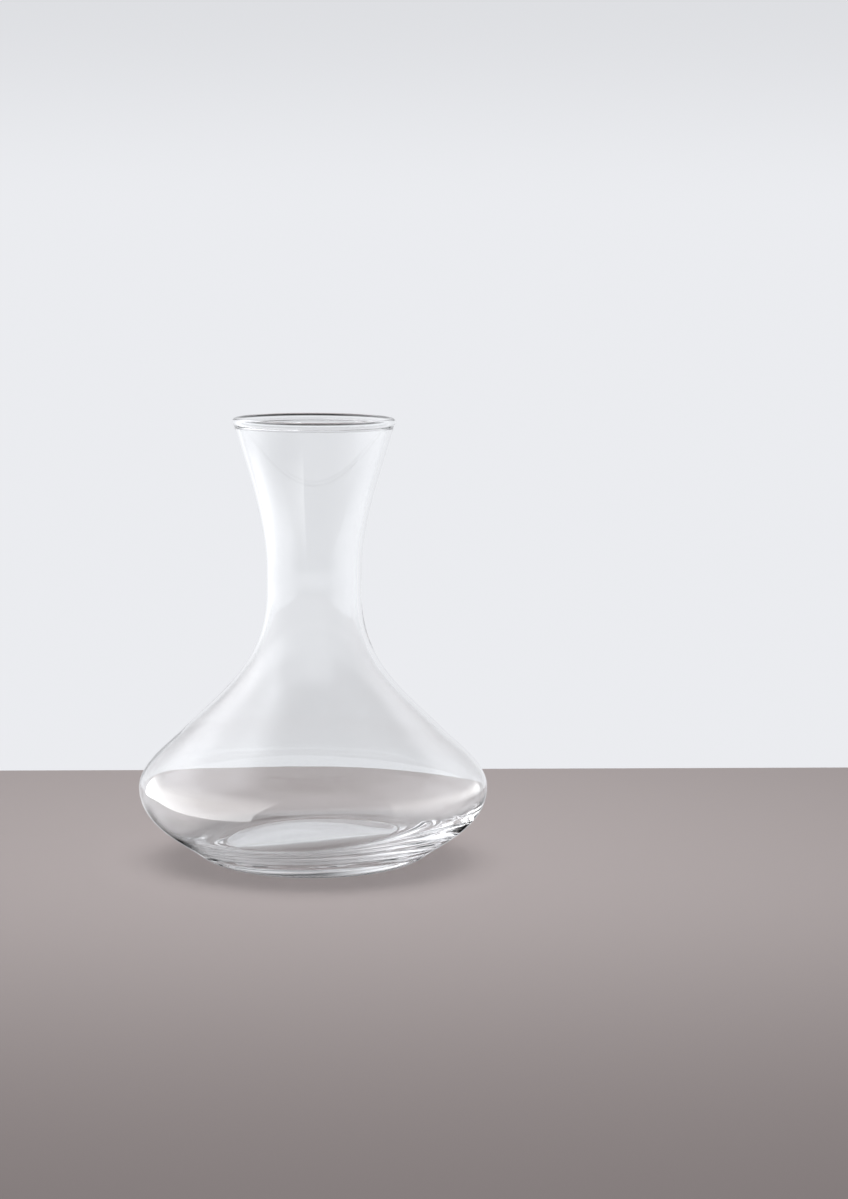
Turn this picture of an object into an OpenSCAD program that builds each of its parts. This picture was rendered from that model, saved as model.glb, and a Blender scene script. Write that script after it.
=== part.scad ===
// Wide-bowled wine decanter in clear glass, open at the top, with no handle
// and no stopper. It is one blown vessel, drawn here in the five zones that
// a glassmaker works one after another: base, bowl, shoulder, neck and rim.
// Every zone is turned about the Z axis. Neighbours meet face to face, on a
// cut square to the wall. The origin is the middle of the foot, on the table.

/* [Overall] */
// Height from the table to the top of the rim
height = 255; // [240:1:275]

/* [Base] */
// Outer diameter of the flat ring that the decanter stands on
foot_d = 98; // [90:1:108]
// Width of that flat ring
foot_ring_w = 1.5; // [1:0.1:4]
// Radius of the rounded heel outside the ring
heel_radius = 30; // [22:1:34]
// How steeply the heel hands over to the bowl, above the horizontal
heel_rise = 38; // [32:1:44]
// Thick glass where the heel meets the bowl
heel_wall = 10; // [8.8:0.1:11.4]
// Width of the gutter round the floor, from its lowest ring to that thick glass
gutter_w = 4.8; // [3:0.2:8]
// How far the floor climbs across the gutter
gutter_rise = 1.2; // [0.6:0.1:2]
// Height of the hollow pushed up under the middle
punt_height = 5; // [3:0.5:8]
// Solid glass over the top of that hollow
punt_wall = 15; // [12:0.5:17]

/* [Bowl] */
// Diameter at the widest point
bowl_d = 200; // [188:1:214]
// Height of the widest point
belly_height = 43.5; // [38:0.5:50]
// Wall at the widest point
belly_wall = 1.8; // [1.3:0.1:3]

/* [Shoulder] */
// Diameter where the bowl turns into the shoulder
shoulder_d = 151; // [140:1:162]
// Height of that turn
shoulder_height = 75; // [68:0.5:82]
// Slope of the wall there, above the horizontal
shoulder_slope = 46; // [40:0.5:52]
// Wall there
shoulder_wall = 1.7; // [1.3:0.1:3]

/* [Neck] */
// Outer diameter of the throat, the narrowest part of the neck
throat_d = 54.6; // [48:0.2:62]
// Height where the straight throat starts
throat_height = 155.5; // [145:0.5:166]
// Length of the straight throat
throat_length = 12; // [6:1:20]
// Slope of the flared neck under the rim, above the horizontal
flare_slope = 76; // [68:0.5:82]
// Wall of the neck, up to the rim
neck_wall = 2.3; // [1.8:0.1:3]

/* [Rim] */
// Outer diameter of the rim
rim_d = 93; // [86:0.5:100]
// Thickness of the round bead along the rim
bead_d = 4.6; // [3.8:0.1:5.4]
// How far the bead stands out of the neck
bead_proud = 0.6; // [0.2:0.1:1.2]

/* [Resolution] */
// Steps along each curve of the outline
curve_steps = 24; // [12:1:32]

/* [Hidden] */
$fn = 180;

// Clear glass with a trace of green
glass_colour = [0.84, 0.92, 0.9];
glass_alpha = 0.4;

// Radii of the sizes above
foot_r = foot_d / 2;
bowl_r = bowl_d / 2;
shoulder_r = shoulder_d / 2;
throat_r = throat_d / 2;
rim_r = rim_d / 2;
bead_r = bead_d / 2;

// Angles at which the outline runs, on the right of the axis and upwards
level = 0;
upright = 90;
shoulder_lean = 2 * upright - shoulder_slope;

// Fullness of each curve: how far its two handles reach, as shares of its span
heel_to_belly_shares = [0.25, 0.41];
belly_to_shoulder_shares = [0.3, 0.26];
shoulder_to_throat_shares = [0.34, 0.44];
throat_to_lip_shares = [0.36, 0.25];
punt_under_shares = [0.6, 0.1];
punt_over_shares = [0.6, 0.1];
gutter_shares = [0.3, 0.3];

// How fast the wall thins above the heel: the power of what is left of the way
heel_thinning = 4;

// Length of plain wall that belongs to the rim, as a share of the bead
rim_seat_share = 0.62;
rim_seat = bead_d * rim_seat_share;

// Unit vector that runs at an angle, and the one square to it on the outside
function along(angle) = [cos(angle), sin(angle)];
function outside(angle) = [sin(angle), -cos(angle)];

// Inner end of a cut square to the wall, from its outer end
function through(p, angle, wall) = p - outside(angle) * wall;

// Curve from p, where it runs at angle a, to q, at angle b: ends and handles
function curve(p, a, q, b, shares) =
    let (span = norm(q - p))
    [p, p + along(a) * span * shares[0], q - along(b) * span * shares[1], q];

function point_at(c, t) =
    c[0] * pow(1 - t, 3) + c[1] * 3 * t * pow(1 - t, 2)
    + c[2] * 3 * t * t * (1 - t) + c[3] * pow(t, 3);

function run_at(c, t) =
    (c[1] - c[0]) * pow(1 - t, 2) + (c[2] - c[1]) * 2 * t * (1 - t)
    + (c[3] - c[2]) * t * t;

// Unit vector square to the curve, on the outside of the wall
function square_at(c, t) =
    let (run = run_at(c, t))
    [run[1], -run[0]] / norm(run);

// Share of a change of wall that has happened at t: even, with no kink at the
// ends, or quick at first, as above the heel
function eased_share(t) = t * t * (3 - 2 * t);
function quick_share(t) = 1 - pow(1 - t, heel_thinning);

function steps() = [for (i = [0:curve_steps]) i / curve_steps];

function outer_face(c) = [for (t = steps()) point_at(c, t)];

// Face inside the wall, which goes from its first thickness to its last
function inner_point(c, t, first, last, share) =
    point_at(c, t) - square_at(c, t) * (first + (last - first) * share);

function inner_face(c, first, last) =
    [for (t = steps()) inner_point(c, t, first, last, eased_share(t))];

function heel_side_face(c, first, last) =
    [for (t = steps()) inner_point(c, t, first, last, quick_share(t))];

function reversed(points) = [for (i = [len(points) - 1:-1:0]) points[i]];

// All but the first point, for a face that goes on from another
function onward(points) = [for (i = [1:len(points) - 1]) points[i]];

// Stations of the outer face, from the table up
ring_edge = [foot_r, 0];
heel_centre = [foot_r, heel_radius];
heel_end = heel_centre + outside(heel_rise) * heel_radius;
belly = [bowl_r, belly_height];
shoulder_turn = [shoulder_r, shoulder_height];
throat_foot = [throat_r, throat_height];
throat_top = throat_foot + along(upright) * throat_length;
bead_centre = [rim_r - bead_r, height - bead_r];
lip_top = bead_centre + outside(flare_slope) * (bead_r - bead_proud);
lip = lip_top - along(flare_slope) * rim_seat;

// Curves of the outer face between them
lower_bowl = curve(heel_end, heel_rise, belly, upright, heel_to_belly_shares);
upper_bowl = curve(belly, upright, shoulder_turn, shoulder_lean, belly_to_shoulder_shares);
draw_in = curve(shoulder_turn, shoulder_lean, throat_foot, upright, shoulder_to_throat_shares);
flare = curve(throat_top, upright, lip, flare_slope, throat_to_lip_shares);

module turned(outline) {
    color(glass_colour, glass_alpha)
    rotate_extrude()
    polygon(outline);
}

// Foot ring and rounded heel, and the thick floor, domed over the punt, with
// a gutter round it that runs on smoothly into the bowl
module base() {
    ring_inner = ring_edge - along(level) * foot_ring_w;
    punt_top = along(upright) * punt_height;
    floor_top = punt_top + along(upright) * punt_wall;
    heel_inner = through(heel_end, heel_rise, heel_wall);
    floor_low = heel_inner - along(level) * gutter_w - along(upright) * gutter_rise;
    bowl_run = heel_side_face(lower_bowl, heel_wall, belly_wall)[1] - heel_inner;
    bowl_rise = atan2(bowl_run[1], bowl_run[0]);
    hollow = curve(punt_top, level, ring_inner, level, punt_under_shares);
    dome = curve(floor_top, level, floor_low, level, punt_over_shares);
    gutter = curve(floor_low, level, heel_inner, bowl_rise, gutter_shares);
    heel = [for (t = steps()) heel_centre + outside(heel_rise * t) * heel_radius];
    floor_inside = concat(outer_face(dome), onward(outer_face(gutter)));
    turned(concat(outer_face(hollow), heel, reversed(floor_inside)));
}

// Wide lower vessel, from the heel past the widest point
module bowl() {
    outer = concat(outer_face(lower_bowl), onward(outer_face(upper_bowl)));
    inner = concat(
        heel_side_face(lower_bowl, heel_wall, belly_wall),
        onward(inner_face(upper_bowl, belly_wall, shoulder_wall))
    );
    turned(concat(outer, reversed(inner)));
}

// Hollow curve that draws the bowl in to the throat
module shoulder() {
    inner = inner_face(draw_in, shoulder_wall, neck_wall);
    turned(concat(outer_face(draw_in), reversed(inner)));
}

// Straight throat and the flare above it
module neck() {
    outer = concat([throat_foot], outer_face(flare));
    inner = concat(
        [through(throat_foot, upright, neck_wall)],
        inner_face(flare, neck_wall, neck_wall)
    );
    turned(concat(outer, reversed(inner)));
}

// End of the wall, drawn into a round bead by the flame
module rim() {
    seat = [
        lip,
        lip_top,
        through(lip_top, flare_slope, neck_wall),
        through(lip, flare_slope, neck_wall)
    ];
    color(glass_colour, glass_alpha)
    rotate_extrude()
    union() {
        polygon(seat);
        translate(bead_centre) circle(r = bead_r);
    }
}

base();
bowl();
shoulder();
neck();
rim();
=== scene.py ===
"""Clear glass wine decanter on a pale table, in soft studio light.

The decanter is one blown vessel. Its outline comes from the five zones that
the CAD model is made of: base, bowl, shoulder, neck and rim. One turned mesh
stands for all five, because the real glass has no seam between them.
Lengths are in metres, angles in degrees, and colours in linear light.
"""

import logging
import math
from dataclasses import dataclass, field
from enum import Enum
from typing import Any

import bpy
import numpy as np
from mathutils import Matrix, Vector


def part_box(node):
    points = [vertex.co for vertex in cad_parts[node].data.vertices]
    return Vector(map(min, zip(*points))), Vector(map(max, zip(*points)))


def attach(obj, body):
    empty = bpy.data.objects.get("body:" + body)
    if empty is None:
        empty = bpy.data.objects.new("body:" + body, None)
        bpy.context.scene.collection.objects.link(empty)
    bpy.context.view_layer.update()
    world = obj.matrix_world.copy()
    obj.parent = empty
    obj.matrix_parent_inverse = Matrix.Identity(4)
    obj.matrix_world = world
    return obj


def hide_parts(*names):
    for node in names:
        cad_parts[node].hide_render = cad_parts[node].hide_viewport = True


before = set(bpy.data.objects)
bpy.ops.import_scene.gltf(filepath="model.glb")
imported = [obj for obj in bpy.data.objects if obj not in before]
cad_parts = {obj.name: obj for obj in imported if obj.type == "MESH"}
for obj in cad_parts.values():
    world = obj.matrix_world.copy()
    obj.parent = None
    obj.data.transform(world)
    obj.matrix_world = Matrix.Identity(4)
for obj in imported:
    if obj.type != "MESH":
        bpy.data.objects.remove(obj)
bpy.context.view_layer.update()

BODY = "root"
UPRIGHT = 90.0
LEVEL = 0.0
HALF_TURN = 180.0
FULL_TURN = 360.0
FULL_TURN_RADIANS = 2 * math.pi
SAME_POINT = 1e-6
RAMP_MIDDLE = 0.5

Points = np.ndarray
Socket = bpy.types.NodeSocket
Colour = tuple[float, float, float, float]

log = logging.getLogger("decanter")


class Zone(Enum):
    """The CAD nodes that the glass mesh stands for, from the table up."""

    BASE = "base"
    BOWL = "bowl"
    SHOULDER = "shoulder"
    NECK = "neck"
    RIM = "rim"


class Thinning(Enum):
    """How a wall goes from its first thickness to its last."""

    EASED = 0
    QUICK = 4

    def share(self, way: Points) -> Points:
        """Share of the change that has happened on the way along a wall.

        Args:
            way: Shares of the way along the wall.

        Returns:
            The share for each of them: even, with no kink at the ends, or quick
            at first, by the power that the option stands for.
        """
        if self is Thinning.QUICK:
            return 1 - (1 - way) ** self.value
        return eased(way)


def eased(way: Points) -> Points:
    """Smooth step from 0 to 1, level at both ends."""
    return way * way * (3 - 2 * way)


def along(angle: float) -> Points:
    """Unit vector that runs at an angle above the horizontal, away from the axis."""
    return np.array([math.cos(math.radians(angle)), math.sin(math.radians(angle))])


def outside(angle: float) -> Points:
    """Unit vector square to a wall that runs at an angle, on its outer side."""
    return np.array([math.sin(math.radians(angle)), -math.cos(math.radians(angle))])


def arc(centre: Points, radius: float, first: float, last: float, steps: int) -> Points:
    """Points along a round stretch of the outline.

    Args:
        centre: Centre of the arc, as radius and height.
        radius: Radius of the arc.
        first: Direction from the centre to the first point.
        last: Direction from the centre to the last point.
        steps: Number of steps between the two.

    Returns:
        One row of radius and height for each point.
    """
    turn = np.radians(np.linspace(first, last, steps + 1))
    return centre + radius * np.column_stack([np.cos(turn), np.sin(turn)])


@dataclass(frozen=True)
class Curve:
    """Smooth stretch of the outline, from one point and angle to another."""

    start: Points
    start_angle: float
    end: Points
    end_angle: float
    shares: tuple[float, float]

    def handles(self) -> list[Points]:
        """The two ends and, between them, the two handles that shape the curve."""
        span = float(np.linalg.norm(self.end - self.start))
        first = self.start + along(self.start_angle) * span * self.shares[0]
        last = self.end - along(self.end_angle) * span * self.shares[1]
        return [self.start, first, last, self.end]

    def points(self, steps: int) -> Points:
        """Points along the curve.

        Args:
            steps: Number of steps from end to end.

        Returns:
            One row of radius and height for each point.
        """
        t = np.linspace(0, 1, steps + 1)[:, None]
        a, b, c, d = self.handles()
        return a * (1 - t) ** 3 + b * 3 * t * (1 - t) ** 2 + c * 3 * t * t * (1 - t) + d * t ** 3

    def inset(
        self, steps: int, first: float, last: float, thinning: Thinning = Thinning.EASED,
    ) -> Points:
        """Points on the inner side of a wall whose outer side is the curve.

        Args:
            steps: Number of steps from end to end.
            first: Thickness of the wall at the start.
            last: Thickness of the wall at the end.
            thinning: How it goes from one to the other.

        Returns:
            One row of radius and height for each point.
        """
        t = np.linspace(0, 1, steps + 1)[:, None]
        a, b, c, d = self.handles()
        run = (b - a) * (1 - t) ** 2 + (c - b) * 2 * t * (1 - t) + (d - c) * t * t
        square = np.column_stack([run[:, 1], -run[:, 0]]) / np.linalg.norm(run, axis=1)[:, None]
        wall = first + (last - first) * thinning.share(t)
        return self.points(steps) - square * wall


@dataclass(frozen=True)
class Base:
    """Foot ring, rounded heel, and the thick floor, domed over the punt."""

    foot_r: float = 0.049
    ring_width: float = 0.0015
    heel_radius: float = 0.03
    heel_rise: float = 38.0
    heel_wall: float = 0.01
    gutter_width: float = 0.0048
    gutter_rise: float = 0.0012
    punt_height: float = 0.005
    punt_wall: float = 0.015
    punt_under_shares: tuple[float, float] = (0.6, 0.1)
    punt_over_shares: tuple[float, float] = (0.6, 0.1)
    gutter_shares: tuple[float, float] = (0.3, 0.3)

    @property
    def heel_centre(self) -> Points:
        """Centre of the heel's round section."""
        return np.array([self.foot_r, self.heel_radius])

    @property
    def heel_end(self) -> Points:
        """Where the heel hands over to the bowl, on the outer face."""
        return self.heel_centre + outside(self.heel_rise) * self.heel_radius

    def outer(self, steps: int) -> Points:
        """Outer face, from the top of the punt to the end of the heel.

        Args:
            steps: Number of steps along each curve.

        Returns:
            One row of radius and height for each point.
        """
        ring_inner = np.array([self.foot_r - self.ring_width, 0.0])
        punt_top = np.array([0.0, self.punt_height])
        punt = Curve(punt_top, LEVEL, ring_inner, LEVEL, self.punt_under_shares)
        heel = arc(self.heel_centre, self.heel_radius, -UPRIGHT, self.heel_rise - UPRIGHT, steps)
        return np.vstack([punt.points(steps), heel])

    def inner(self, steps: int, bowl_inner: Points) -> Points:
        """Inner face, from the top of the floor, over the gutter, to the end of the heel.

        Args:
            steps: Number of steps along each curve.
            bowl_inner: The bowl's inner face, which the gutter runs on into.

        Returns:
            One row of radius and height for each point.
        """
        floor_top = np.array([0.0, self.punt_height + self.punt_wall])
        heel_inner = bowl_inner[0]
        floor_low = heel_inner - np.array([self.gutter_width, self.gutter_rise])
        run = bowl_inner[1] - heel_inner
        bowl_rise = math.degrees(math.atan2(run[1], run[0]))
        dome = Curve(floor_top, LEVEL, floor_low, LEVEL, self.punt_over_shares)
        gutter = Curve(floor_low, LEVEL, heel_inner, bowl_rise, self.gutter_shares)
        return np.vstack([dome.points(steps), gutter.points(steps)[1:]])


@dataclass(frozen=True)
class Shoulder:
    """Hollow curve that draws the bowl in to the throat."""

    turn_r: float = 0.0755
    turn_height: float = 0.075
    slope: float = 46.0
    wall: float = 0.0017
    shares: tuple[float, float] = (0.34, 0.44)

    @property
    def turn(self) -> Points:
        """Where the bowl hands over to the shoulder, on the outer face."""
        return np.array([self.turn_r, self.turn_height])

    @property
    def lean(self) -> float:
        """Angle at which the outer face runs there, upwards and inwards."""
        return HALF_TURN - self.slope


@dataclass(frozen=True)
class Bowl:
    """Wide lower vessel, from the heel past the widest point."""

    bowl_r: float = 0.1
    belly_height: float = 0.0435
    belly_wall: float = 0.0018
    lower_shares: tuple[float, float] = (0.25, 0.41)
    upper_shares: tuple[float, float] = (0.3, 0.26)

    def curves(self, base: Base, shoulder: Shoulder) -> tuple[Curve, Curve]:
        """The two curves of the outer face, below and above the widest point.

        Args:
            base: The zone below.
            shoulder: The zone above.

        Returns:
            The lower and the upper curve.
        """
        belly = np.array([self.bowl_r, self.belly_height])
        lower = Curve(base.heel_end, base.heel_rise, belly, UPRIGHT, self.lower_shares)
        upper = Curve(belly, UPRIGHT, shoulder.turn, shoulder.lean, self.upper_shares)
        return lower, upper


@dataclass(frozen=True)
class Neck:
    """Straight throat, and the flare above it."""

    throat_r: float = 0.0273
    throat_height: float = 0.1555
    throat_length: float = 0.012
    flare_slope: float = 76.0
    wall: float = 0.0023
    shares: tuple[float, float] = (0.36, 0.25)

    @property
    def throat_foot(self) -> Points:
        """Lowest point of the straight throat, on the outer face."""
        return np.array([self.throat_r, self.throat_height])

    @property
    def throat_top(self) -> Points:
        """Highest point of the straight throat, on the outer face."""
        return self.throat_foot + along(UPRIGHT) * self.throat_length


@dataclass(frozen=True)
class Rim:
    """End of the wall, drawn into a round bead by the flame."""

    rim_r: float = 0.0465
    height: float = 0.255
    bead_r: float = 0.0023
    bead_proud: float = 0.0006
    outer_fillet: float = 0.002
    inner_fillet: float = 0.0025
    bead_steps: int = 40
    fillet_steps: int = 8

    @property
    def centre(self) -> Points:
        """Centre of the bead's round section."""
        return np.array([self.rim_r - self.bead_r, self.height - self.bead_r])

    def lip(self, slope: float) -> Points:
        """Where the neck's outer face comes to under the bead.

        Args:
            slope: Slope of the neck's wall under the rim.

        Returns:
            Radius and height of the point.
        """
        outer_face = self.bead_r - self.bead_proud
        return self.centre + outside(slope) * outer_face - along(slope) * self.bead_r

    def fillet(self, slope: float, face: float, radius: float) -> tuple[Points, float]:
        """The small hollow that the flame leaves between the bead and one face.

        Args:
            slope: Slope of the neck's wall under the rim.
            face: Distance from the bead's centre to that face, minus inwards.
            radius: Radius of the hollow.

        Returns:
            Centre of the hollow, and the direction from it to the bead's centre.
        """
        side = math.copysign(1.0, face)
        across = face + side * radius
        down = math.sqrt((self.bead_r + radius) ** 2 - across ** 2)
        centre = self.centre + outside(slope) * across - along(slope) * down
        towards = self.centre - centre
        return centre, math.degrees(math.atan2(towards[1], towards[0]))

    def section(self, neck: Neck) -> Points:
        """The rim's outline, from the neck's outer face over the bead to its inner one.

        Args:
            neck: The zone below.

        Returns:
            One row of radius and height for each point.
        """
        slope = neck.flare_slope
        outer_face = self.bead_r - self.bead_proud
        inner_face = outer_face - neck.wall
        out_centre, out_way = self.fillet(slope, outer_face, self.outer_fillet)
        in_centre, in_way = self.fillet(slope, inner_face, self.inner_fillet)
        steps = self.fillet_steps
        out_hollow = arc(out_centre, self.outer_fillet, slope + UPRIGHT, out_way, steps)
        in_hollow = arc(in_centre, self.inner_fillet, in_way, slope - UPRIGHT, steps)
        first, last = out_way - HALF_TURN, in_way + HALF_TURN
        bead = arc(self.centre, self.bead_r, first, last, self.bead_steps)
        return np.vstack([out_hollow, bead[1:-1], in_hollow])


@dataclass(frozen=True)
class Lean:
    """How far one half of the inner face is out of true, as in glass blown by hand.

    The lean is whole up to one height of the inner face, and gone at another.
    """

    side: float
    slope: float
    whole_below: float
    gone_above: float

    def lift(self, x: Points, z: Points) -> Points:
        """How far the inner face lies above its turned place.

        Args:
            x: Distance to the right of the axis.
            z: Height of the turned place.

        Returns:
            The lift of each point, minus where the face is lower.
        """
        remains = np.clip((self.gone_above - z) / (self.gone_above - self.whole_below), 0, 1)
        across = self.side * np.maximum(self.side * x, 0)
        return math.tan(math.radians(self.slope)) * across * eased(remains)


@dataclass(frozen=True)
class Drift:
    """How far the inside stands off the axis at mid height, as in glass blown by hand.

    The drift sets in with height, is whole between two heights, and fades again.
    """

    across: float = -0.0008
    starts: float = 0.045
    whole_from: float = 0.08
    whole_to: float = 0.1
    gone: float = 0.15

    def shift(self, z: Points) -> Points:
        """How far the inner face lies to the right of its turned place.

        Args:
            z: Height of the turned place.

        Returns:
            The shift of each point, minus where it is to the left.
        """
        rise = np.clip((z - self.starts) / (self.whole_from - self.starts), 0, 1)
        fall = np.clip((self.gone - z) / (self.gone - self.whole_to), 0, 1)
        return self.across * eased(rise) * eased(fall)


@dataclass(frozen=True)
class Graph:
    """Small helper that fills a node tree."""

    tree: bpy.types.NodeTree

    def add(
        self, kind: str, options: dict[str, Any] | None = None, **sockets: Any,
    ) -> bpy.types.Node:
        """Adds a node.

        Args:
            kind: Blender's name for the kind of node.
            options: Settings of the node itself.
            sockets: Values, or outputs of other nodes, for its input sockets, by
                name with underscores for spaces, or by number after an s.

        Returns:
            The new node.
        """
        node = self.tree.nodes.new(kind)
        for name, value in (options or {}).items():
            setattr(node, name, value)
        for name, value in sockets.items():
            key = int(name[1:]) if name[1:].isdigit() else name.replace("_", " ")
            if isinstance(value, Socket):
                self.tree.links.new(value, node.inputs[key])
            else:
                node.inputs[key].default_value = value
        return node

    def maths(self, kind: str, first: Any, second: Any) -> Socket:
        """Adds an operation on two values or outputs, and returns its output."""
        return self.add("ShaderNodeMath", {"operation": kind}, s0=first, s1=second).outputs[0]

    def choose(self, share: Socket, off: Any, on: Any) -> Socket:
        """Adds a blend from off, where share is 0, to on, where it is 1. Returns its output."""
        return self.add("ShaderNodeMix", s0=share, s2=off, s3=on).outputs[0]


@dataclass(frozen=True)
class Fade:
    """Smooth change from one value to another, between two places on one axis."""

    start: float
    end: float
    first: float
    last: float

    def node(self, graph: Graph, value: Socket) -> Socket:
        """Adds the fade to a node tree.

        Args:
            graph: The node tree.
            value: Output that carries the place.

        Returns:
            Output that carries the value there.
        """
        made = graph.add(
            "ShaderNodeMapRange", {"interpolation_type": "SMOOTHSTEP"}, Value=value,
            From_Min=self.start, From_Max=self.end, To_Min=self.first, To_Max=self.last,
        )
        return made.outputs["Result"]


@dataclass(frozen=True)
class ClearGlass:
    """Clear glass, fire polished, which keeps back a little of the lamp's light.

    The shadow fades with height, because the heel and the floor are thick.
    """

    tint: Colour = (0.952, 0.956, 0.957, 1.0)
    ior: float = 1.5
    roughness: float = 0.0
    wave_scale: float = 38.0
    wave_detail: float = 1.0
    wave_roughness: float = 0.4
    wave_depth: float = 0.00002
    lets_through: Fade = Fade(0.01, 0.03, 0.68, 0.95)

    def material(self) -> bpy.types.Material:
        """Makes the glass shader, which lets lamp light through to the table.

        Returns:
            The material.
        """
        material = bpy.data.materials.new("clear_glass")
        material.use_nodes = True
        material.node_tree.nodes.clear()
        graph = Graph(material.node_tree)
        place = graph.add("ShaderNodeTexCoord")
        waves = graph.add(
            "ShaderNodeTexNoise",
            Vector=place.outputs["Object"], Scale=self.wave_scale,
            Detail=self.wave_detail, Roughness=self.wave_roughness,
        )
        bump = graph.add(
            "ShaderNodeBump",
            Strength=1.0, Distance=self.wave_depth, Height=waves.outputs["Fac"],
        )
        glass = graph.add(
            "ShaderNodeBsdfPrincipled",
            Base_Color=self.tint, Roughness=self.roughness, IOR=self.ior,
            Transmission_Weight=1.0, Normal=bump.outputs["Normal"],
        )
        height = graph.add("ShaderNodeSeparateXYZ", Vector=place.outputs["Object"]).outputs["Z"]
        clear = graph.add("ShaderNodeBsdfTransparent", Color=self.lets_through.node(graph, height))
        path = graph.add("ShaderNodeLightPath")
        mix = graph.add(
            "ShaderNodeMixShader",
            s0=path.outputs["Is Shadow Ray"], s1=glass.outputs["BSDF"], s2=clear.outputs["BSDF"],
        )
        graph.add("ShaderNodeOutputMaterial", Surface=mix.outputs["Shader"])
        return material


@dataclass(frozen=True)
class Decanter:
    """The whole vessel: its zones, the mesh that is turned from them, and its finish."""

    base: Base
    bowl: Bowl
    shoulder: Shoulder
    neck: Neck
    rim: Rim
    leans: tuple[Lean, ...] = (
        Lean(side=-1.0, slope=2.0, whole_below=0.008, gone_above=0.043),
        Lean(side=1.0, slope=3.0, whole_below=0.010, gone_above=0.043),
    )
    drift: Drift = field(default_factory=Drift)
    steps: int = 32
    segments: int = 288

    def upper_walls(self) -> list[tuple[Curve, float, float]]:
        """Walls above the widest point.

        Returns:
            The outer curve of each, and its thickness at the start and at the end.
        """
        shoulder, neck = self.shoulder, self.neck
        lip = self.rim.lip(neck.flare_slope)
        upper_bowl = self.bowl.curves(self.base, shoulder)[1]
        draw_in = Curve(shoulder.turn, shoulder.lean, neck.throat_foot, UPRIGHT, shoulder.shares)
        flare = Curve(neck.throat_top, UPRIGHT, lip, neck.flare_slope, neck.shares)
        return [
            (upper_bowl, self.bowl.belly_wall, shoulder.wall),
            (draw_in, shoulder.wall, neck.wall),
            (flare, neck.wall, neck.wall),
        ]

    def faces(self) -> tuple[Points, Points]:
        """Outer and inner face below the rim, each from the bottom up.

        Returns:
            For each face, one row of radius and height for each point.
        """
        base, bowl, steps = self.base, self.bowl, self.steps
        lower_bowl = bowl.curves(base, self.shoulder)[0]
        lower_inner = lower_bowl.inset(steps, base.heel_wall, bowl.belly_wall, Thinning.QUICK)
        outer = [base.outer(steps), lower_bowl.points(steps)]
        inner = [base.inner(steps, lower_inner), lower_inner]
        for curve, first, last in self.upper_walls():
            outer.append(curve.points(steps))
            inner.append(curve.inset(steps, first, last))
        return np.vstack(outer), np.vstack(inner)

    def outline(self) -> tuple[Points, Points]:
        """Closed outline, from the axis under the punt round to the axis over it.

        Returns:
            One row of radius and height for each point, and whether it is on the inside.
        """
        outer, inner = self.faces()
        rim = self.rim.section(self.neck)
        outer = outer[outer[:, 1] < rim[0, 1]]
        inner = inner[inner[:, 1] < rim[-1, 1]][::-1]
        rows = np.vstack([outer, rim, inner])
        is_inner = np.arange(len(rows)) >= len(outer) + len(rim)
        apart = np.linalg.norm(np.diff(rows, axis=0), axis=1) > SAME_POINT
        keep = np.concatenate([[True], apart])
        return rows[keep], is_inner[keep]

    def turned(self) -> tuple[Points, Points]:
        """The outline turned about the axis, with its inside leaned and drifted.

        Returns:
            The points, ring after ring along the outline, and the two on the axis.
        """
        rows, is_inner = self.outline()
        ring = rows[1:-1]
        inside = is_inner[1:-1, None]
        turn = np.arange(self.segments) * FULL_TURN_RADIANS / self.segments
        x = ring[:, :1] * np.cos(turn)
        y = ring[:, :1] * np.sin(turn)
        z = np.repeat(ring[:, 1:], self.segments, axis=1)
        lift = sum(lean.lift(x, z) for lean in self.leans)
        x = x + inside * self.drift.shift(z)
        z = z + inside * lift
        poles = np.array([[0, 0, rows[0, 1]], [0, 0, rows[-1, 1]]])
        return np.stack([x, y, z], axis=2), poles

    def mesh(self, name: str) -> bpy.types.Object:
        """Makes one closed mesh of the whole vessel.

        Args:
            name: Name of the new object.

        Returns:
            The new object, with smooth faces.
        """
        rings, poles = self.turned()
        around = rings.reshape(-1, 3)
        index = np.arange(len(around)).reshape(rings.shape[:2])
        after = np.roll(index, -1, axis=1)
        quads = np.stack([index[:-1], after[:-1], after[1:], index[1:]], axis=2).reshape(-1, 4)
        under, over = len(around), len(around) + 1
        fan_under = [(under, b, a) for a, b in zip(index[0], after[0])]
        fan_over = [(over, a, b) for a, b in zip(index[-1], after[-1])]
        vertices = np.vstack([around, poles])
        data = bpy.data.meshes.new(name)
        data.from_pydata(vertices.tolist(), [], quads.tolist() + fan_under + fan_over)
        data.validate()
        data.shade_smooth()
        piece = bpy.data.objects.new(name, data)
        bpy.context.scene.collection.objects.link(piece)
        return piece

    def build(self, finish: ClearGlass) -> bpy.types.Object:
        """Makes the vessel, dresses it and puts it in the place of the CAD nodes.

        Args:
            finish: The glass that it is made of.

        Returns:
            The finished object.
        """
        piece = self.mesh("decanter_glass")
        piece.data.materials.append(finish.material())
        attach(piece, BODY)
        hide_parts(*(zone.value for zone in Zone))
        return piece


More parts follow.
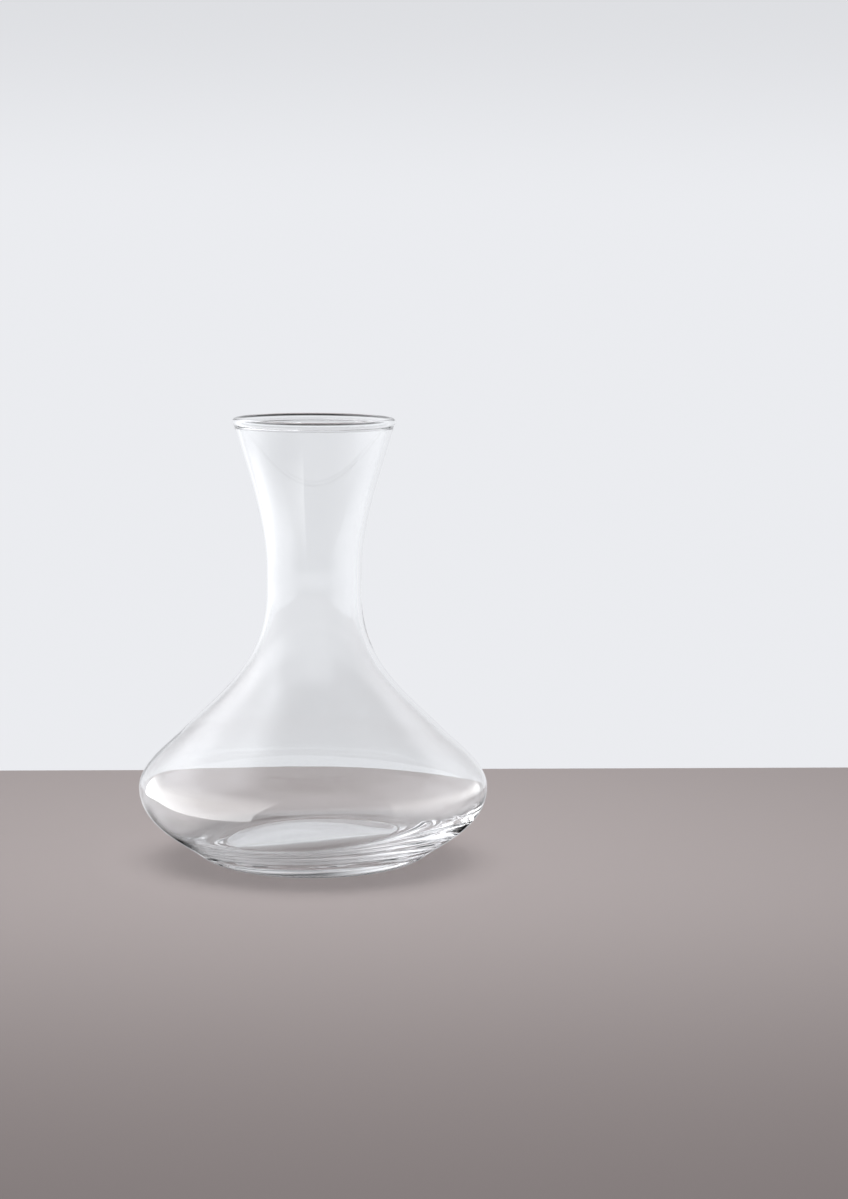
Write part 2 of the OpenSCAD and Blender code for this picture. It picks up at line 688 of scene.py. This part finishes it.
@dataclass(frozen=True)
class PhotoCamera:
    """The camera, at the viewing angle that the decanter is seen from."""

    place: tuple[float, float, float] = (0.0, -1.7972, 0.3716)
    lens_mm: float = 95.04
    yaw: float = 2.01
    pitch: float = 6.989
    roll: float = 0.335

    def build(self) -> bpy.types.Object:
        """Makes the camera and gives it to the scene.

        Returns:
            The camera object.
        """
        yaw, pitch, roll = (math.radians(a) for a in (self.yaw, self.pitch, self.roll))
        level_ahead = Vector((math.sin(yaw), math.cos(yaw), 0.0))
        ahead = level_ahead * math.cos(pitch) - Vector((0.0, 0.0, math.sin(pitch)))
        level_right = Vector((math.cos(yaw), -math.sin(yaw), 0.0))
        level_up = level_right.cross(ahead)
        right = level_right * math.cos(roll) + level_up * math.sin(roll)
        up = level_up * math.cos(roll) - level_right * math.sin(roll)
        turn = Matrix((right, up, -ahead)).transposed().to_4x4()
        data = bpy.data.cameras.new("photo_camera")
        data.lens = self.lens_mm
        camera = bpy.data.objects.new("photo_camera", data)
        camera.matrix_world = Matrix.Translation(self.place) @ turn
        bpy.context.scene.collection.objects.link(camera)
        bpy.context.scene.camera = camera
        return camera


@dataclass(frozen=True)
class Table:
    """Plain pale table top, which ends a little way behind the decanter."""

    reach_back: float = 0.2958
    reach_front: float = 0.7
    reach_left: float = 0.34
    reach_right: float = 0.42
    thickness: float = 0.03
    skew: float = 1.1
    colour: Colour = (0.456, 0.407, 0.402, 1.0)
    # Painted shade: darker colour towards the front, standing in for the lamp's light falling off
    # there.
    front_painted_shade_colour: Colour = (0.34, 0.298, 0.293, 1.0)
    painted_shade_towards_front: Fade = Fade(-0.65, -0.05, 0.0, 1.0)
    roughness: float = 0.75

    def material(self) -> bpy.types.Material:
        """Makes the matt finish of the table top, with painted shade towards the front.

        Returns:
            The material.
        """
        material = bpy.data.materials.new("table")
        material.use_nodes = True
        material.node_tree.nodes.clear()
        graph = Graph(material.node_tree)
        place = graph.add("ShaderNodeTexCoord")
        y = graph.add("ShaderNodeSeparateXYZ", Vector=place.outputs["Object"]).outputs["Y"]
        # Painted shade: the table's colour is mixed towards a darker one towards the front, where
        # the light falls off.
        colour_with_painted_shade = graph.add(
            "ShaderNodeMix", {"data_type": "RGBA"},
            s0=self.painted_shade_towards_front.node(graph, y), s6=self.front_painted_shade_colour, s7=self.colour,
        )
        surface = graph.add(
            "ShaderNodeBsdfPrincipled",
            Base_Color=colour_with_painted_shade.outputs[2], Roughness=self.roughness, Specular_IOR_Level=0.0,
        )
        graph.add("ShaderNodeOutputMaterial", Surface=surface.outputs["BSDF"])
        return material

    def build(self) -> bpy.types.Object:
        """Makes the table top.

        Returns:
            The table top.
        """
        left, right = -self.reach_left, self.reach_right
        front, back = -self.reach_front, self.reach_back
        corners = [(left, front), (right, front), (right, back), (left, back)]
        count = len(corners)
        vertices = [(x, y, z) for z in (0.0, -self.thickness) for x, y in corners]
        top = tuple(range(count))
        under = tuple(reversed(range(count, 2 * count)))
        sides = [(a, (a + 1) % count, (a + 1) % count + count, a + count) for a in range(count)]
        data = bpy.data.meshes.new("table")
        data.from_pydata(vertices, [], [top, under, *sides])
        data.materials.append(self.material())
        table = bpy.data.objects.new("table", data)
        table.rotation_euler.z = math.radians(self.skew)
        bpy.context.scene.collection.objects.link(table)
        table.visible_glossy = False
        return table


@dataclass(frozen=True)
class Ring:
    """Light that comes from all round at one height above the table.

    The stops are angles, from 0 on the camera's side over the right, with minus
    for the left, and the light from there. The ramp holds them as shares of the
    brightest level.
    """

    stops: tuple[tuple[float, float], ...]
    brightest: float = 6.0

    def node(self, graph: Graph, turn: Socket) -> Socket:
        """Adds the ring to a node tree.

        Args:
            graph: The node tree.
            turn: Output that goes from 0 to 1 once round, and is half at angle 0.

        Returns:
            Output that carries the light.
        """
        node = graph.add("ShaderNodeValToRGB", s0=turn)
        ramp = node.color_ramp
        ramp.interpolation = "EASE"
        while len(ramp.elements) < len(self.stops):
            ramp.elements.new(RAMP_MIDDLE)
        for stop, (angle, level) in zip(ramp.elements, self.stops):
            stop.position = angle / FULL_TURN + RAMP_MIDDLE
            stop.color = (*[level / self.brightest] * 3, 1.0)
        return graph.maths("MULTIPLY", node.outputs["Color"], self.brightest)


@dataclass(frozen=True)
class Backdrop:
    """Pale studio round the table: lit walls at the left and right, darker above.

    A direction is given by its coordinates x, y and z, each from -1 to 1. Three
    rings of light lie one above another and blend by z. Under the table's height
    the light is shaded by z, in another way in front, beside and behind, by y.
    The camera sees the plain backdrop. Through the glass, no more light than the
    backdrop's own is seen, and the rings show only as they are mirrored.
    """

    colour: Colour = (0.83, 0.84, 0.87, 1.0)
    plain: float = 1.0
    ambient: float = 0.25
    backdrop: Fade = Fade(0.0, 0.07, 1.0, 0.88)
    low: Ring = Ring((
        (-180, 0.95), (-160, 1.1), (-140, 1.45), (-125, 1.85), (-106, 2.2), (-89, 2.1), (-74, 1.9),
        (-54, 1.8), (-35, 1.8), (-15, 1.8), (15, 1.8), (35, 1.6), (54, 1.6), (74, 1.7), (88, 1.7),
        (104, 1.6), (122, 1.35), (140, 1.1), (160, 1.0), (180, 0.95),
    ))
    middle: Ring = Ring((
        (-180, 0.95), (-160, 1.4), (-142, 2.3), (-120, 3.2), (-98, 3.4), (-82, 3.3), (-60, 2.4),
        (-38, 1.9), (-15, 1.8), (15, 1.8), (45, 1.5), (62, 1.4), (84, 1.3), (110, 1.35), (140, 1.5),
        (165, 1.2), (180, 0.95),
    ))
    high: Ring = Ring((
        (-180, 0.1), (-150, 0.9), (-120, 2.2), (-90, 2.8), (-60, 1.6), (-30, 1.6), (0, 1.8),
        (30, 1.6), (60, 0.8), (120, 0.6), (150, 0.03), (180, 0.05),
    ))
    above: float = 0.4
    low_to_middle: Fade = Fade(0.22, 0.5, 0.0, 1.0)
    middle_to_high: Fade = Fade(0.55, 0.72, 0.0, 1.0)
    high_to_above: Fade = Fade(0.84, 0.99, 0.0, 1.0)
    before: Fade = Fade(-0.85, -0.4, 1.0, 0.0)
    behind: Fade = Fade(0.65, 0.9, 0.0, 1.0)
    under_front: Fade = Fade(-0.2, -0.08, 0.3, 1.0)
    under_side: Fade = Fade(-0.6, -0.35, 0.2, 1.0)
    under_back: Fade = Fade(-0.36, -0.24, 0.0, 1.0)

    def rings(self, graph: Graph, x: Socket, y: Socket, z: Socket) -> Socket:
        """Adds the three rings and the light from straight above.

        Args:
            graph: The node tree.
            x: Output that carries the direction to the right.
            y: Output that carries the direction away from the camera.
            z: Output that carries the direction upwards.

        Returns:
            Output that carries the light.
        """
        angle = graph.maths("ARCTAN2", x, graph.maths("MULTIPLY", y, -1.0))
        turn = graph.maths("ADD", graph.maths("DIVIDE", angle, FULL_TURN_RADIANS), RAMP_MIDDLE)
        light = self.low.node(graph, turn)
        for blend, next_light in (
            (self.low_to_middle, self.middle.node(graph, turn)),
            (self.middle_to_high, self.high.node(graph, turn)),
            (self.high_to_above, self.above),
        ):
            light = graph.choose(blend.node(graph, z), light, next_light)
        return light

    def shade(self, graph: Graph, y: Socket, z: Socket) -> Socket:
        """Adds the shade under the table's height.

        Args:
            graph: The node tree.
            y: Output that carries the direction away from the camera.
            z: Output that carries the direction upwards.

        Returns:
            Output that carries the share of the light that is left.
        """
        front = self.under_front.node(graph, z)
        side = self.under_side.node(graph, z)
        back = self.under_back.node(graph, z)
        beside_or_front = graph.choose(self.before.node(graph, y), side, front)
        return graph.choose(self.behind.node(graph, y), beside_or_front, back)

    def build(self) -> bpy.types.World:
        """Makes the world and gives it to the scene.

        Returns:
            The new world.
        """
        world = bpy.data.worlds.new("backdrop")
        world.use_nodes = True
        world.node_tree.nodes.clear()
        graph = Graph(world.node_tree)
        path = graph.add("ShaderNodeLightPath")
        place = graph.add("ShaderNodeTexCoord")
        way = graph.add("ShaderNodeSeparateXYZ", Vector=place.outputs["Generated"])
        x, y, z = (way.outputs[axis] for axis in "XYZ")
        studio = graph.maths("MULTIPLY", self.rings(graph, x, y, z), self.shade(graph, y, z))
        through = graph.maths("MINIMUM", studio, self.plain)
        unmirrored = graph.choose(path.outputs["Is Camera Ray"], through, self.plain)
        unmirrored = graph.maths("MULTIPLY", unmirrored, self.backdrop.node(graph, z))
        mirrored = graph.maths("MINIMUM", path.outputs["Glossy Depth"], 1.0)
        seen = graph.choose(mirrored, unmirrored, studio)
        level = graph.choose(path.outputs["Is Diffuse Ray"], seen, self.ambient)
        light = graph.add("ShaderNodeBackground", Color=self.colour, Strength=level)
        graph.add("ShaderNodeOutputWorld", Surface=light.outputs["Background"])
        bpy.context.scene.world = world
        return world


@dataclass(frozen=True)
class Lamp:
    """Large soft lamp over the table. The glass doesn't show it."""

    name: str
    place: tuple[float, float, float]
    size: float
    watts: float
    aim: tuple[float, float, float] = (0.0, 0.0, 0.0)

    def build(self) -> bpy.types.Object:
        """Makes the lamp.

        Returns:
            The lamp object.
        """
        data = bpy.data.lights.new(self.name, "AREA")
        data.shape = "DISK"
        data.size = self.size
        data.energy = self.watts
        lamp = bpy.data.objects.new(self.name, data)
        way = Vector(self.aim) - Vector(self.place)
        lamp.location = self.place
        lamp.rotation_euler = way.to_track_quat("-Z", "Y").to_euler()
        lamp.visible_camera = False
        lamp.visible_glossy = False
        lamp.visible_transmission = False
        bpy.context.scene.collection.objects.link(lamp)
        return lamp


@dataclass(frozen=True)
class Softbox:
    """Lit panel beside the decanter, which shows only mirrored in the glass.

    It glows in full between two heights and fades towards its foot and its top.
    Its first edge leans, so that the top stands off the foot by a distance. Only
    the wall that is nearest to it mirrors it: the light has gone through two
    faces of the glass at most.
    """

    name: str
    foot: tuple[tuple[float, float], ...]
    height: float
    radiance: float
    whole_from: float
    whole_to: float
    lean: tuple[float, float] = (0.0, 0.0)
    colour: Colour = (1.0, 1.0, 1.0, 1.0)
    most_faces: float = 2.5

    def material(self) -> bpy.types.Material:
        """Makes the glow, which gives way to nothing towards the panel's foot and top.

        Returns:
            The material.
        """
        material = bpy.data.materials.new(self.name)
        material.use_nodes = True
        material.node_tree.nodes.clear()
        graph = Graph(material.node_tree)
        place = graph.add("ShaderNodeTexCoord")
        spot = graph.add("ShaderNodeSeparateXYZ", Vector=place.outputs["Object"])
        rise = Fade(0.0, self.whole_from, 0.0, 1.0).node(graph, spot.outputs["Z"])
        fall = Fade(self.whole_to, self.height, 1.0, 0.0).node(graph, spot.outputs["Z"])
        path = graph.add("ShaderNodeLightPath")
        mirrored = graph.maths("MINIMUM", path.outputs["Glossy Depth"], 1.0)
        nearest = graph.maths("LESS_THAN", path.outputs["Transmission Depth"], self.most_faces)
        share = graph.maths("MULTIPLY", rise, fall)
        share = graph.maths("MULTIPLY", share, graph.maths("MULTIPLY", mirrored, nearest))
        clear = graph.add("ShaderNodeBsdfTransparent")
        light = graph.add("ShaderNodeEmission", Color=self.colour, Strength=self.radiance)
        mix = graph.add(
            "ShaderNodeMixShader",
            s0=share, s1=clear.outputs["BSDF"], s2=light.outputs["Emission"],
        )
        graph.add("ShaderNodeOutputMaterial", Surface=mix.outputs["Shader"])
        return material

    def build(self) -> bpy.types.Object:
        """Makes the panel.

        Returns:
            The panel.
        """
        count = len(self.foot)
        (x, y), *rest = self.foot
        head = [(x + self.lean[0], y + self.lean[1]), *rest]
        vertices = [(*spot, 0.0) for spot in self.foot] + [(*spot, self.height) for spot in head]
        faces = [(i, i + 1, i + 1 + count, i + count) for i in range(count - 1)]
        data = bpy.data.meshes.new(self.name)
        data.from_pydata(vertices, [], faces)
        data.materials.append(self.material())
        panel = bpy.data.objects.new(self.name, data)
        bpy.context.scene.collection.objects.link(panel)
        panel.visible_camera = False
        panel.visible_diffuse = False
        panel.visible_shadow = False
        return panel


@dataclass(frozen=True)
class Bounces:
    """How often light may bounce, so that the thick floor can carry it round."""

    total: int = 24
    mirrored: int = 16
    through: int = 16

    def apply(self) -> None:
        """Gives the limits to the scene."""
        cycles = bpy.context.scene.cycles
        cycles.max_bounces = self.total
        cycles.glossy_bounces = self.mirrored
        cycles.transmission_bounces = self.through


@dataclass(frozen=True)
class Studio:
    """Table, backdrop, camera, lamps and mirrored panels."""

    camera: PhotoCamera = field(default_factory=PhotoCamera)
    table: Table = field(default_factory=Table)
    backdrop: Backdrop = field(default_factory=Backdrop)
    lamps: tuple[Lamp, ...] = (
        Lamp("lamp_over", place=(0.0, 0.0, 1.15), size=0.8, watts=10.5),
    )
    panels: tuple[Softbox, ...] = (
        Softbox(
            "panel_left", ((-0.09, -0.15), (-0.15, -0.08), (-0.26, 0.07), (-0.265, 0.2)),
            height=0.15, radiance=4.2, whole_from=0.001, whole_to=0.06, lean=(0.045, -0.02),
        ),
        Softbox(
            "panel_right", ((0.1, -0.13), (0.17, -0.06), (0.26, 0.07), (0.265, 0.2)),
            height=0.12, radiance=2.4, whole_from=0.06, whole_to=0.065,
        ),
    )
    bounces: Bounces = field(default_factory=Bounces)

    def build(self) -> None:
        """Makes everything that isn't the decanter."""
        self.bounces.apply()
        self.camera.build()
        for part in (self.table, self.backdrop, *self.lamps, *self.panels):
            made = part.build()
            log.info("studio: %s", made.name)


def main() -> None:
    """Builds the studio and the decanter."""
    logging.basicConfig(level=logging.INFO, format="%(message)s")
    bpy.context.scene.view_settings.view_transform = "Standard"
    Studio().build()
    rim_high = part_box(Zone.RIM.value)[1]
    bowl_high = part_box(Zone.BOWL.value)[1]
    neck_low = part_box(Zone.NECK.value)[0]
    decanter = Decanter(
        base=Base(),
        bowl=Bowl(bowl_r=bowl_high.x),
        shoulder=Shoulder(),
        neck=Neck(throat_height=neck_low.z),
        rim=Rim(rim_r=rim_high.x, height=rim_high.z),
    )
    glass = decanter.build(ClearGlass())
    log.info("decanter: %s, %d vertices", glass.name, len(glass.data.vertices))


if __name__ == "__main__":
    main()
